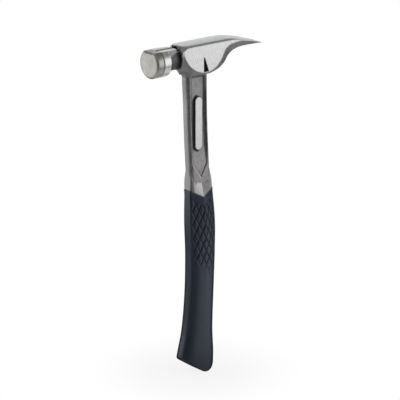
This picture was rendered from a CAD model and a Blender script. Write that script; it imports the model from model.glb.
"""Looks of a short one-piece finish hammer: cast body, striking face, set screw, nail magnet and rubber grip.

Shapes are worked out in millimetres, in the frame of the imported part, and put into meshes in metres.
"""

from __future__ import annotations

import logging
import math
from dataclasses import dataclass, field
from enum import Enum
from typing import Callable, Union

import bpy
import numpy as np
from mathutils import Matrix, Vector

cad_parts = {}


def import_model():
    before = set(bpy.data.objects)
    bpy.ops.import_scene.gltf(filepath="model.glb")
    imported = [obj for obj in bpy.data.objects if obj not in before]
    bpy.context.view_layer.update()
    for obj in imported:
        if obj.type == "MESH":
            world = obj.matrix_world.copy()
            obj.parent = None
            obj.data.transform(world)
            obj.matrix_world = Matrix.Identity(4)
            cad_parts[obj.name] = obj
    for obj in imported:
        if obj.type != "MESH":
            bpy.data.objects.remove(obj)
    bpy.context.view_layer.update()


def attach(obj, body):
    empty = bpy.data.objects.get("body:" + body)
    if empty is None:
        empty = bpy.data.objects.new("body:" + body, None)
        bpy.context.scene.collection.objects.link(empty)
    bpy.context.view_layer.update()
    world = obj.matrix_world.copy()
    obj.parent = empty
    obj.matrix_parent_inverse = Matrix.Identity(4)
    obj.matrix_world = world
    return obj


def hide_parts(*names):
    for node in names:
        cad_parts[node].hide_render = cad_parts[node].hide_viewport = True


LOG = logging.getLogger("finish_hammer")
MM = 0.001
Array = np.ndarray
Colour = tuple[float, float, float]
Stretch = tuple[float, float, float]
Pair = tuple[float, float]
Span = tuple[float, float]
# Span in which most values of a noise lie
NOISE_SPAN: Span = (0.3, 0.7)
# Length of a cubic's handles as a share of the distance between its ends
HANDLE_SHARE = 0.36
# Slope of a field that falls alike along two axes
DIAGONAL = 0.7071


class Body(Enum):
    """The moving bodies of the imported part."""

    HAMMER = "hammer"
    FACE = "face"
    SCREW = "screw"


class Slot(Enum):
    """The record's material slots."""

    TITANIUM = "cast_titanium"
    FACE = "face_steel"
    SCREW = "screw_steel"
    MAGNET = "magnet_plate"
    RUBBER = "grip_rubber"


# Curves and fields


def ease(t: Array) -> Array:
    """Smooth step from 0 to 1: three t squared less two t cubed, held level outside that range."""
    t = np.clip(t, 0.0, 1.0)
    return t * t * (3.0 - 2.0 * t)


def fade(value: Array, start: float, end: float) -> Array:
    """Smooth step of a value from 0 at start to 1 at end."""
    return ease((value - start) / (end - start))


def full_turn(count: int) -> Array:
    """Angles of a whole turn in even steps."""
    return np.linspace(0.0, 2.0 * np.pi, count, endpoint=False)


def turn_over(first: Array, corner: Array, last: Array, t: Array) -> Array:
    """Points at t on the quadratic curve from first to last whose handle is the corner."""
    return first * (1 - t) ** 2 + 2 * corner * t * (1 - t) + last * t * t


def blend_min(a: Array, b: Array, radius: float) -> Array:
    """Union of two fields with a fillet.

    Formula: the lesser of both, less h squared over four radii, where h is the radius less their difference.

    Args:
        a: One field, negative inside.
        b: The other field.
        radius: How near each other the fields are where the fillet starts.

    Returns:
        The field of both together.
    """
    h = np.maximum(radius - np.abs(a - b), 0.0)
    return np.minimum(a, b) - h * h / (4.0 * radius)


def blend_max(a: Array, b: Array, radius: float) -> Array:
    """Common part of two fields with a rounded edge, as blend_min with the signs turned."""
    return -blend_min(-a, -b, radius)


def sweep(a: Array, slope_a: float, b: Array, slope_b: float, steps: int) -> Array:
    """Points on a cubic that leaves a at one slope and reaches b at another.

    Formula: a cubic with a handle at each end, whose length is a fixed share of the distance from a to b.

    Args:
        a: First point in X and Z.
        slope_a: Slope at the first point in degrees.
        b: Last point.
        slope_b: Slope at the last point in degrees.
        steps: Number of steps; the last point isn't among the points.

    Returns:
        Array of steps rows of X and Z.
    """
    a = np.asarray(a, float)
    b = np.asarray(b, float)
    handle = HANDLE_SHARE * np.linalg.norm(b - a)
    start = np.radians(slope_a)
    end = np.radians(slope_b)
    c = a + handle * np.array([np.cos(start), np.sin(start)])
    d = b - handle * np.array([np.cos(end), np.sin(end)])
    t = (np.arange(steps) / steps)[:, None]
    return a * (1 - t) ** 3 + 3 * c * t * (1 - t) ** 2 + 3 * d * t * t * (1 - t) + b * t**3


def straight(a: Array, b: Array, steps: int) -> Array:
    """Evenly spaced points from a towards b, without b."""
    t = (np.arange(steps) / steps)[:, None]
    return np.asarray(a, float) * (1 - t) + np.asarray(b, float) * t


@dataclass(frozen=True)
class Rows:
    """Smooth values at a height from rows of a height and its sizes.

    Formula: a cubic between each pair of rows, whose slope at a row is that between its neighbours.
    """

    table: Array

    def at(self, z: Array, column: int) -> Array:
        """Value of one column at each height.

        Args:
            z: Heights.
            column: The column of the table, from 1.

        Returns:
            Values of the shape of z.
        """
        heights = self.table[:, 0]
        values = self.table[:, column]
        count = len(heights)
        before = np.maximum(np.arange(count) - 1, 0)
        after = np.minimum(np.arange(count) + 1, count - 1)
        slopes = (values[after] - values[before]) / (heights[after] - heights[before])
        i = np.clip(np.searchsorted(heights, z, "right") - 1, 0, count - 2)
        gap = heights[i + 1] - heights[i]
        t = np.clip((z - heights[i]) / gap, 0.0, 1.0)
        level = values[i] * (1 - ease(t)) + values[i + 1] * ease(t)
        return level + gap * t * (1 - t) * (slopes[i] * (1 - t) - slopes[i + 1] * t)


@dataclass(frozen=True)
class EdgeLine:
    """A line through points in X and Z."""

    points: Array

    def level(self, x: Array) -> Array:
        """Height of the line at x, for a line that runs one way along X."""
        return np.interp(x, self.points[:, 0], self.points[:, 1])

    def away(self, x: Array, z: Array) -> Array:
        """Distance to the nearest of the line's straight parts.

        Formula: for each part, the distance to the foot of the point on it, kept between its ends.

        Args:
            x, z: Places along the axes.

        Returns:
            Distances, of the shape that x and z make together.
        """
        least = 1e-9
        start = self.points[:-1]
        run = self.points[1:] - start
        length = np.maximum((run**2).sum(1), least)
        px = x[..., None] - start[:, 0]
        pz = z[..., None] - start[:, 1]
        t = np.clip((px * run[:, 0] + pz * run[:, 1]) / length, 0.0, 1.0)
        return np.sqrt(((px - t * run[:, 0]) ** 2 + (pz - t * run[:, 1]) ** 2).min(-1))

    def under(self, x: Array, z: Array) -> Array:
        """Distance to the line, positive under it and negative over it."""
        return np.where(z < self.level(x), 1.0, -1.0) * self.away(x, z)

    def within(self, x: Array, z: Array) -> Array:
        """Distance to a closed line, negative inside it.

        Formula: a point is inside if a ray along X crosses the line an odd number of times.

        Args:
            x, z: Places along the axes.

        Returns:
            Signed distances.
        """
        a = self.points[:-1]
        b = self.points[1:]
        over = (a[:, 1] > z[..., None]) != (b[:, 1] > z[..., None])
        rise = np.where(a[:, 1] == b[:, 1], 1.0, b[:, 1] - a[:, 1])
        cross = a[:, 0] + (z[..., None] - a[:, 1]) / rise * (b[:, 0] - a[:, 0])
        odd = (over & (x[..., None] < cross)).sum(-1) % 2 == 1
        return np.where(odd, -1.0, 1.0) * self.away(x, z)


class FlatMap:
    """Values on an even grid in X and Z, read between its points."""

    def __init__(
        self, values: Callable[[Array, Array], Array], x_span: Span, z_span: Span, step: float = 0.25
    ) -> None:
        """Works the values out once.

        Args:
            values: Function of X and Z.
            x_span: Lowest and highest X.
            z_span: Lowest and highest Z.
            step: Distance between the points.
        """
        self.x0 = x_span[0]
        self.z0 = z_span[0]
        self.step = step
        xs = np.arange(x_span[0], x_span[1] + step, step)
        zs = np.arange(z_span[0], z_span[1] + step, step)
        self.table = values(xs[:, None], zs[None, :])

    def at(self, x: Array, z: Array) -> Array:
        """Value between the four nearest points of the grid, held level outside it.

        Args:
            x, z: Places along the axes.

        Returns:
            Values of the shape that x and z make together.
        """
        end = 1.001
        rows, columns = self.table.shape
        u = np.clip((x - self.x0) / self.step, 0.0, rows - end)
        v = np.clip((z - self.z0) / self.step, 0.0, columns - end)
        i = u.astype(int)
        j = v.astype(int)
        fu = u - i
        fv = v - j
        low = self.table[i, j] * (1 - fu) + self.table[i + 1, j] * fu
        high = self.table[i, j + 1] * (1 - fu) + self.table[i + 1, j + 1] * fu
        return low * (1 - fv) + high * fv


Field = Callable[[Array, Array, Array], Array]


@dataclass
class SurfaceNet:
    """Closed skin of a field that is negative inside, found on a grid whose steps may differ.

    Formula: each cell that the skin crosses gets one point, the mean of the crossings on its twelve edges.
    Each grid edge that the skin crosses gets one four-sided face through the four cells around it.
    """

    shape: Field
    xs: Array
    ys: Array
    zs: Array

    def skin(self) -> tuple[Array, Array]:
        """Points and four-sided faces of the skin.

        Returns:
            Points in millimetres, and faces as rows of four point numbers that run anticlockwise seen from
            outside.
        """
        values = self.shape(self.xs[:, None, None], self.ys[None, :, None], self.zs[None, None, :])
        inside = values < 0
        cells = tuple(n - 1 for n in values.shape)
        offsets = np.array([[i, j, k] for i in (0, 1) for j in (0, 1) for k in (0, 1)])
        count = np.zeros(cells, np.int8)
        for i, j, k in offsets:
            count += inside[i : i + cells[0], j : j + cells[1], k : k + cells[2]]
        crossed = (count > 0) & (count < 8)
        number = np.full(cells, -1, np.int64)
        number[crossed] = np.arange(crossed.sum())
        corner = np.argwhere(crossed)[:, None, :] + offsets[None]
        place = np.stack(
            [self.xs[corner[..., 0]], self.ys[corner[..., 1]], self.zs[corner[..., 2]]], axis=-1
        )
        at_corner = values[corner[..., 0], corner[..., 1], corner[..., 2]]
        pairs = np.array(
            [(a, b) for a in range(8) for b in range(a + 1, 8) if np.abs(offsets[a] - offsets[b]).sum() == 1]
        )
        first = at_corner[:, pairs[:, 0]]
        second = at_corner[:, pairs[:, 1]]
        split = (first < 0) != (second < 0)
        t = np.where(split, first / np.where(split, first - second, 1.0), 0.0)[..., None]
        hit = place[:, pairs[:, 0]] * (1 - t) + place[:, pairs[:, 1]] * t
        points = (hit * split[..., None]).sum(1) / split.sum(1)[:, None]
        faces = np.concatenate([self._faces(inside, number, axis) for axis in range(3)])
        return points, faces

    @staticmethod
    def _faces(inside: Array, number: Array, axis: int) -> Array:
        """Faces through the grid edges that run along one axis.

        Args:
            inside: Whether each grid point is inside.
            number: Point number of each cell, or -1.
            axis: 0, 1 or 2.

        Returns:
            Rows of four point numbers.
        """
        turned = np.moveaxis(inside, axis, 0)
        cell = np.moveaxis(number, axis, 0)
        change = turned[:-1, 1:-1, 1:-1] != turned[1:, 1:-1, 1:-1]
        i, j, k = np.nonzero(change)
        ring = [cell[i, j, k], cell[i, j + 1, k], cell[i, j + 1, k + 1], cell[i, j, k + 1]]
        quads = np.stack(ring, axis=1)
        leaving = turned[i, j + 1, k + 1]
        if axis == 1:
            leaving = ~leaving
        return np.where(leaving[:, None], quads, quads[:, ::-1])

    def slope(self, points: Array, reach: float) -> tuple[Array, Array, Array]:
        """Field, its slope and its bend at points, from differences over a reach to both sides.

        Args:
            points: Rows of X, Y and Z.
            reach: Distance of the samples.

        Returns:
            The values, the slopes as rows of three, and the bend, which is positive on outer edges.
        """
        x, y, z = points.T
        middle = self.shape(x, y, z)
        total = np.zeros_like(middle)
        parts = []
        for step in np.eye(3) * reach:
            ahead = self.shape(x + step[0], y + step[1], z + step[2])
            behind = self.shape(x - step[0], y - step[1], z - step[2])
            parts.append((ahead - behind) / (2 * reach))
            total += ahead + behind - 2 * middle
        return middle, np.stack(parts, axis=1), total / reach**2

    def settle(self, points: Array, rounds: int = 2, most: float = 0.35) -> Array:
        """Points moved down the slope onto the skin, each by a limited step.

        Args:
            points: Rows of X, Y and Z near the skin.
            rounds: Number of moves.
            most: Longest move.

        Returns:
            The moved points.
        """
        reach = 0.1
        least_size = 0.05
        for _ in range(rounds):
            value, slope, _ = self.slope(points, reach)
            size = np.maximum((slope**2).sum(1), least_size)
            move = np.clip(value / np.sqrt(size), -most, most) / np.sqrt(size)
            points = points - slope * move[:, None]
        return points


# Meshes


class Skin:
    """Mesh of a closed surface from points in millimetres."""

    def __init__(self, name: str, points: Array, faces: list[Array]) -> None:
        """Makes the object at the origin, with its place in its mesh.

        Args:
            name: Name of the piece.
            points: Rows of X, Y and Z.
            faces: Arrays of faces, each with the same number of corners, which run anticlockwise seen from
                outside.
        """
        self.mesh = bpy.data.meshes.new(name)
        self.piece = bpy.data.objects.new(name, self.mesh)
        sizes = np.concatenate([np.full(len(f), f.shape[1], np.int32) for f in faces])
        corners = np.concatenate([f.ravel() for f in faces]).astype(np.int32)
        self.mesh.vertices.add(len(points))
        self.mesh.vertices.foreach_set("co", (points * MM).astype(np.float32).ravel())
        self.mesh.loops.add(len(corners))
        self.mesh.loops.foreach_set("vertex_index", corners)
        self.mesh.polygons.add(len(sizes))
        self.mesh.polygons.foreach_set("loop_start", (np.cumsum(sizes) - sizes).astype(np.int32))
        self.mesh.polygons.foreach_set("use_smooth", np.ones(len(sizes), bool))
        self.mesh.update(calc_edges=True)
        self.mesh.validate()
        bpy.context.scene.collection.objects.link(self.piece)

    @classmethod
    def around(cls, name: str, rows: Array, first_pole: Array, last_pole: Array) -> "Skin":
        """Skin through closed rows of points, shut by a pole at each end.

        Args:
            name: Name of the piece.
            rows: Points as rows, columns and X, Y, Z; the rows run anticlockwise seen from the last pole.
            first_pole: Point before the first row.
            last_pole: Point after the last row.

        Returns:
            The skin.
        """
        m, n = rows.shape[:2]
        points = np.concatenate([rows.reshape(-1, 3), [first_pole], [last_pole]])
        i = np.arange(m - 1)[:, None] * n
        j = np.arange(n)[None, :]
        k = (j + 1) % n
        quads = np.stack([i + j, i + k, i + n + k, i + n + j], axis=-1).reshape(-1, 4)
        j = np.arange(n)
        k = (j + 1) % n
        first = np.stack([np.full(n, m * n), k, j], axis=1)
        last = np.stack([np.full(n, m * n + 1), (m - 1) * n + j, (m - 1) * n + k], axis=1)
        return cls(name, points, [quads, first, last])

    def paint(self, name: str, values: Array) -> None:
        """Stores one number for each point as an attribute that a material reads."""
        layer = self.mesh.attributes.new(name, "FLOAT", "POINT")
        layer.data.foreach_set("value", np.asarray(values, np.float32).ravel())

    def lean(self, normals: Array) -> None:
        """Sets the shading normal of each point."""
        self.mesh.normals_split_custom_set_from_vertices(normals.astype(np.float32))

    def mount(self, body: Body, slot: Slot, node: str, material: bpy.types.Material) -> bpy.types.Object:
        """Dresses the piece and puts it in the place of its CAD node.

        Args:
            body: Body that it moves with.
            slot: Material slot of the record.
            node: CAD node that it stands for.
            material: Its finish.

        Returns:
            The piece.
        """
        self.mesh.materials.append(material)
        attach(self.piece, body.value)
        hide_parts(node)
        LOG.info("%s: %d faces, rides on %s", self.piece.name, len(self.mesh.polygons), body.value)
        return self.piece


# Shader expressions


Value = Union["Socket", float, int]


class Socket:
    """A shader value that takes part in Python expressions; each operator adds one Math node."""

    def __init__(self, shader: "Shader", socket: bpy.types.NodeSocket) -> None:
        """Wraps an output socket of a shader's node tree."""
        self.shader = shader
        self.socket = socket

    def __add__(self, other: Value) -> "Socket":
        """Sum."""
        return self.shader.math("ADD", self, other)

    def __radd__(self, other: Value) -> "Socket":
        """Sum, with a number first."""
        return self.shader.math("ADD", other, self)

    def __sub__(self, other: Value) -> "Socket":
        """Difference."""
        return self.shader.math("SUBTRACT", self, other)

    def __rsub__(self, other: Value) -> "Socket":
        """Difference from a number."""
        return self.shader.math("SUBTRACT", other, self)

    def __mul__(self, other: Value) -> "Socket":
        """Product."""
        return self.shader.math("MULTIPLY", self, other)

    def __rmul__(self, other: Value) -> "Socket":
        """Product, with a number first."""
        return self.shader.math("MULTIPLY", other, self)


class Shader:
    """A node tree under construction."""

    def __init__(self, owner: Union[bpy.types.Material, bpy.types.World]) -> None:
        """Empties the owner's node tree."""
        owner.use_nodes = True
        self.tree = owner.node_tree
        self.tree.nodes.clear()

    def node(self, kind: str, settings: dict, inputs: dict) -> bpy.types.Node:
        """Adds a node.

        Args:
            kind: Node type.
            settings: Properties of the node, set first.
            inputs: Values or sockets by input name or number.

        Returns:
            The node.
        """
        made = self.tree.nodes.new(kind)
        for name, value in settings.items():
            setattr(made, name, value)
        for name, value in inputs.items():
            if isinstance(value, Socket):
                self.tree.links.new(value.socket, made.inputs[name])
            else:
                made.inputs[name].default_value = value
        return made

    def out(self, node: bpy.types.Node, name: Union[str, int] = 0) -> Socket:
        """One output of a node as a value for expressions."""
        return Socket(self, node.outputs[name])

    def math(self, operation: str, a: Value, b: Value) -> Socket:
        """A Math node on two values."""
        return self.out(self.node("ShaderNodeMath", {"operation": operation}, {0: a, 1: b}))

    def most(self, a: Value, b: Value) -> Socket:
        """The greater of two values."""
        return self.math("MAXIMUM", a, b)

    def spread(self, value: Socket, start: float, end: float, low: float = 0.0, high: float = 1.0) -> Socket:
        """A value's span from start to end, carried smoothly onto low to high and held there outside it.

        Args:
            value: The value.
            start, end: Its span.
            low, high: What the span's ends give.

        Returns:
            The value between low and high.
        """
        inputs = {"Value": value, "From Min": start, "From Max": end, "To Min": low, "To Max": high}
        made = self.node("ShaderNodeMapRange", {"interpolation_type": "SMOOTHSTEP"}, inputs)
        return self.out(made, "Result")

    def mix(self, share: Value, a: Union[Socket, Colour], b: Union[Socket, Colour]) -> Socket:
        """Colour between a and b.

        Args:
            share: Share of b.
            a, b: Colours.

        Returns:
            The mixed colour.
        """
        # Numbers of the node's sockets that hold colours
        colour_inputs = (6, 7)
        colour_output = 2
        settings = {"data_type": "RGBA", "clamp_factor": True}
        mixer = self.node("ShaderNodeMix", settings, {0: share})
        for index, colour in zip(colour_inputs, (a, b)):
            if isinstance(colour, Socket):
                self.tree.links.new(colour.socket, mixer.inputs[index])
            else:
                mixer.inputs[index].default_value = (*colour, 1.0)
        return self.out(mixer, colour_output)

    def place(self) -> Socket:
        """Object coordinates, in metres in the part's frame."""
        return self.out(self.node("ShaderNodeTexCoord", {}, {}), "Object")

    def painted(self, name: str) -> Socket:
        """A painted attribute of the mesh."""
        return self.out(self.node("ShaderNodeAttribute", {"attribute_name": name}, {}), "Fac")

    def stretch(self, place: Socket, scale: Stretch) -> Socket:
        """Coordinates multiplied along each axis."""
        made = self.node("ShaderNodeVectorMath", {"operation": "MULTIPLY"}, {0: place, 1: scale})
        return self.out(made)

    def noise(self, place: Socket, scale: float, detail: float = 3.0, rough: float = 0.55) -> Socket:
        """Cloudy noise from 0 to 1."""
        inputs = {"Vector": place, "Scale": scale, "Detail": detail, "Roughness": rough}
        return self.out(self.node("ShaderNodeTexNoise", {}, inputs), 0)

    def streaks(self, place: Socket, scale: Stretch, detail: float = 3.0, rough: float = 0.6) -> Socket:
        """Noise that is drawn out along the axes with a small scale."""
        return self.noise(self.stretch(place, scale), 1.0, detail, rough)

    def cells(self, place: Socket, scale: float) -> Socket:
        """Distance to the nearest of scattered points."""
        return self.out(self.node("ShaderNodeTexVoronoi", {}, {"Vector": place, "Scale": scale}), "Distance")

    def bump(self, height: Socket, distance_mm: float, strength: float = 1.0) -> Socket:
        """Normal of a surface raised by a height from 0 to 1."""
        inputs = {"Height": height, "Distance": distance_mm * MM, "Strength": strength}
        return self.out(self.node("ShaderNodeBump", {}, inputs))

    def surface(self, colour: Socket, metallic: Value, rough: Socket, normal: Socket) -> None:
        """Ends a material in one Principled shader, whose inputs are given."""
        inputs = {"Base Color": colour, "Metallic": metallic, "Roughness": rough, "Normal": normal}
        made = self.node("ShaderNodeBsdfPrincipled", {}, inputs)
        self.node("ShaderNodeOutputMaterial", {}, {"Surface": self.out(made)})


# Finishes


@dataclass(frozen=True)
class CastTitanium:
    """Cast and blasted titanium with ground cheeks, a brushed crown and blackened recesses."""

    cast_dark: Colour = (0.215, 0.210, 0.212)
    cast_light: Colour = (0.37, 0.36, 0.36)
    ground_dark: Colour = (0.38, 0.38, 0.38)
    ground_light: Colour = (0.66, 0.66, 0.655)
    crown_dark: Colour = (0.50, 0.515, 0.52)
    crown_light: Colour = (0.70, 0.72, 0.725)
    turned: Colour = (0.58, 0.57, 0.56)
    black: Colour = (0.018, 0.018, 0.019)
    wear: Colour = (0.62, 0.62, 0.61)
    grain_scale: float = 2600.0
    blotch_scale: float = 170.0
    pit_scale: float = 900.0
    pit_span: Span = (0.08, 0.30)
    ground_strokes: Stretch = (2400.0, 2400.0, 150.0)
    crown_strokes: Stretch = (120.0, 2600.0, 900.0)
    turned_rings: Stretch = (4200.0, 120.0, 120.0)
    cast_span: Span = (0.33, 0.68)
    ground_span: Span = (0.3, 0.66)
    wear_span: Span = (0.35, 0.6)
    cast_rough: Span = (0.44, 0.60)
    fine_rough: Span = (0.26, 0.42)
    relief_mm: float = 0.06
    relief_strength: float = 0.8

    def material(self) -> bpy.types.Material:
        """Builds the node tree.

        Returns:
            The material.
        """
        made = bpy.data.materials.new("cast_titanium")
        s = Shader(made)
        place = s.place()
        ground = s.painted("ground")
        crown = s.painted("crown")
        turned = s.painted("turned")
        recess = s.painted("recess")
        edge = s.painted("edge")
        hollow = s.painted("hollow")
        grain = s.noise(place, self.grain_scale, 4.0, 0.6)
        blotch = s.noise(place, self.blotch_scale, 4.0, 0.6)
        pits = s.spread(s.cells(place, self.pit_scale), *self.pit_span)
        strokes = s.streaks(place, self.ground_strokes)
        long_strokes = s.streaks(place, self.crown_strokes)
        rings = s.streaks(place, self.turned_rings, 2.0, 0.5)
        finished = s.most(s.most(ground, crown), turned)
        cast_share = s.spread(grain * 0.45 + blotch * 0.55, *self.cast_span)
        crown_tone = s.mix(s.spread(long_strokes, *NOISE_SPAN), self.crown_dark, self.crown_light)
        ground_tone = s.mix(s.spread(strokes, *self.ground_span), self.ground_dark, self.ground_light)
        turned_tone = s.mix(s.spread(rings, *NOISE_SPAN, 0.0, 0.3), self.turned, self.crown_dark)
        colour = s.mix(cast_share, self.cast_dark, self.cast_light)
        colour = s.mix(crown, colour, crown_tone)
        colour = s.mix(ground, colour, ground_tone)
        colour = s.mix(turned, colour, turned_tone)
        colour = s.mix(edge * s.spread(grain, *self.wear_span, 0.35, 0.8), colour, self.wear)
        colour = s.mix(hollow * 0.9, colour, self.black)
        colour = s.mix(recess * s.spread(grain, *NOISE_SPAN, 0.9, 1.0), colour, self.black)
        cast_rough = s.spread(blotch * 0.5 + grain * 0.5, *NOISE_SPAN, *self.cast_rough)
        fine_rough = s.spread(strokes, *NOISE_SPAN, *self.fine_rough)
        rough = cast_rough * (1.0 - finished) + fine_rough * finished + recess * 0.2
        lines = strokes * ground + long_strokes * crown + rings * turned
        height = (grain * 0.8 + pits * 0.5) * (1.0 - finished) + lines * 0.45
        normal = s.bump(height, self.relief_mm, self.relief_strength)
        s.surface(colour, 1.0 - recess * 0.75, rough, normal)
        return made


@dataclass(frozen=True)
class FaceSteel:
    """Ground steel with a faint warm film, turning marks on the rim and a lightly struck face."""

    face: Colour = (0.29, 0.29, 0.278)
    face_film: Colour = (0.26, 0.25, 0.215)
    side: Colour = (0.50, 0.50, 0.47)
    film: Colour = (0.66, 0.64, 0.54)
    dark: Colour = (0.17, 0.16, 0.14)
    black: Colour = (0.02, 0.02, 0.02)
    cloud_scale: float = 110.0
    speck_scale: float = 1500.0
    dent_scale: float = 420.0
    dent_span: Span = (0.06, 0.22)
    turned_rings: Stretch = (3600.0, 90.0, 90.0)
    film_share: float = 0.85
    rough_span: Span = (0.30, 0.44)
    relief_mm: float = 0.035
    relief_strength: float = 0.7

    def material(self) -> bpy.types.Material:
        """Builds the node tree.

        Returns:
            The material.
        """
        made = bpy.data.materials.new("face_steel")
        s = Shader(made)
        place = s.place()
        front = s.painted("front")
        rim = s.painted("rim")
        joint = s.painted("joint")
        cloud = s.noise(place, self.cloud_scale)
        speck = s.noise(place, self.speck_scale, 3.0, 0.6)
        rings = s.streaks(place, self.turned_rings, 2.0, 0.5)
        dents = s.spread(s.cells(place, self.dent_scale), *self.dent_span)
        struck = s.mix(s.spread(cloud, *NOISE_SPAN, 0.0, 0.6), self.face, self.face_film)
        turned = s.mix(s.spread(rings, *NOISE_SPAN, 0.42, 0.66), self.side, self.dark)
        colour = s.mix(front, turned, struck)
        colour = s.mix(rim * self.film_share, colour, self.film)
        colour = s.mix(joint, colour, self.black)
        rough = s.spread(cloud * 0.5 + speck * 0.5, *NOISE_SPAN, *self.rough_span)
        height = front * (dents * 0.5 + speck * 0.4) + (1.0 - front) * rings * 0.5
        s.surface(colour, 1.0, rough, s.bump(height, self.relief_mm, self.relief_strength))
        return made


@dataclass(frozen=True)
class ScrewSteel:
    """Blackened steel, worn bright on its edges."""

    black: Colour = (0.035, 0.035, 0.038)
    grey: Colour = (0.16, 0.16, 0.165)
    metal: float = 0.85
    speck_scale: float = 2200.0
    edge_share: float = 0.7
    rough_span: Span = (0.34, 0.52)
    relief_mm: float = 0.02
    relief_strength: float = 0.6

    def material(self) -> bpy.types.Material:
        """Builds the node tree.

        Returns:
            The material.
        """
        made = bpy.data.materials.new("screw_steel")
        s = Shader(made)
        place = s.place()
        edge = s.painted("edge")
        speck = s.noise(place, self.speck_scale)
        bright = s.spread(speck, *NOISE_SPAN, 0.0, 0.3) + edge * self.edge_share
        colour = s.mix(bright, self.black, self.grey)
        rough = s.spread(speck, *NOISE_SPAN, *self.rough_span)
        s.surface(colour, self.metal, rough, s.bump(speck, self.relief_mm, self.relief_strength))
        return made


@dataclass(frozen=True)
class MagnetPlate:
    """Warm plated magnet, scratched by nails."""

    plate: Colour = (0.62, 0.54, 0.36)
    scratch: Colour = (0.32, 0.29, 0.24)
    scratch_lines: Stretch = (200.0, 4200.0, 4200.0)
    scratch_span: Span = (0.42, 0.72)
    scratch_share: float = 0.8
    cloud_scale: float = 500.0
    rough_span: Span = (0.28, 0.46)
    relief_mm: float = 0.02
    relief_strength: float = 0.6

    def material(self) -> bpy.types.Material:
        """Builds the node tree.

        Returns:
            The material.
        """
        made = bpy.data.materials.new("magnet_plate")
        s = Shader(made)
        place = s.place()
        lines = s.streaks(place, self.scratch_lines)
        cloud = s.noise(place, self.cloud_scale)
        share = s.spread(lines, *self.scratch_span) * self.scratch_share
        colour = s.mix(share, self.plate, self.scratch)
        rough = s.spread(cloud, *NOISE_SPAN, *self.rough_span)
        s.surface(colour, 1.0, rough, s.bump(lines, self.relief_mm, self.relief_strength))
        return made


@dataclass(frozen=True)
class GripRubber:
    """Blue-black moulded rubber: fine grain, dusty raised pads, and dull in the grooves and at a slant."""

    deep: Colour = (0.0030, 0.0042, 0.0070)
    plain: Colour = (0.0060, 0.0082, 0.0140)
    dusty: Colour = (0.013, 0.017, 0.027)
    sheen: Colour = (0.71, 0.79, 1.0)
    gloss: float = 0.68
    grain_scale: float = 3200.0
    cloud_scale: float = 60.0
    scuff_lines: Stretch = (700.0, 700.0, 160.0)
    dust_span: Span = (0.36, 0.70)
    dust_most: float = 0.45
    pad_dust: float = 0.25
    groove_deep: float = 0.85
    groove_rough: float = 0.2
    groove_dull: float = 0.45
    slant_span: Span = (0.3, 0.62)
    slant_dull: float = 0.8
    rough_span: Span = (0.29, 0.41)
    relief_mm: float = 0.04
    relief_strength: float = 0.5

    def material(self) -> bpy.types.Material:
        """Builds the node tree.

        Returns:
            The material.
        """
        made = bpy.data.materials.new("grip_rubber")
        s = Shader(made)
        place = s.place()
        groove = s.painted("groove")
        pad = s.painted("pad")
        grain = s.noise(place, self.grain_scale, 3.0, 0.6)
        cloud = s.noise(place, self.cloud_scale, 4.0, 0.6)
        scuff = s.streaks(place, self.scuff_lines, 4.0, 0.65)
        dust = s.spread(cloud * 0.6 + scuff * 0.4, *self.dust_span, 0.0, self.dust_most) + pad * self.pad_dust
        colour = s.mix(dust, self.plain, self.dusty)
        colour = s.mix(groove * self.groove_deep, colour, self.deep)
        rough = s.spread(cloud * 0.5 + grain * 0.5, *NOISE_SPAN, *self.rough_span)
        raised = s.node(
            "ShaderNodeBsdfPrincipled",
            {},
            {
                "Base Color": colour,
                "Roughness": rough + groove * self.groove_rough,
                "Specular IOR Level": self.gloss,
                "Specular Tint": (*self.sheen, 1.0),
                "Normal": s.bump(grain * 0.7 + scuff * 0.3, self.relief_mm, self.relief_strength),
            },
        )
        dull = s.node("ShaderNodeBsdfDiffuse", {}, {"Color": (*self.deep, 1.0)})
        slant = s.out(s.node("ShaderNodeLayerWeight", {}, {"Blend": 0.5}), "Facing")
        share = s.most(groove * self.groove_dull, s.spread(slant, *self.slant_span) * self.slant_dull)
        both = s.node("ShaderNodeMixShader", {}, {0: share, 1: s.out(raised), 2: s.out(dull)})
        s.node("ShaderNodeOutputMaterial", {}, {"Surface": s.out(both)})
        return made


# Forms that pieces share


@dataclass(frozen=True)
class HandleLine:
    """Middle line of the handle, front to back: bowed in the grip, straight under the head."""

    axis_height: float = 353.6
    bow: float = 7.0
    bow_height: float = 135.0
    hook: float = 9.0
    hook_power: float = 1.7
    straight_neck: float = 40.0

    def middle(self, z: Array) -> Array:
        """X of the middle line: a power curve under the bow, a smooth step over it.

        Args:
            z: Heights.

        Returns:
            X at each height.
        """
        down = np.clip((self.bow_height - z) / self.bow_height, 0.0, None)
        up = (z - self.bow_height) / (self.axis_height - self.bow_height - self.straight_neck)
        low = self.bow - self.hook * down**self.hook_power
        return np.where(z < self.bow_height, low, self.bow * (1.0 - ease(up)))


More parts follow.
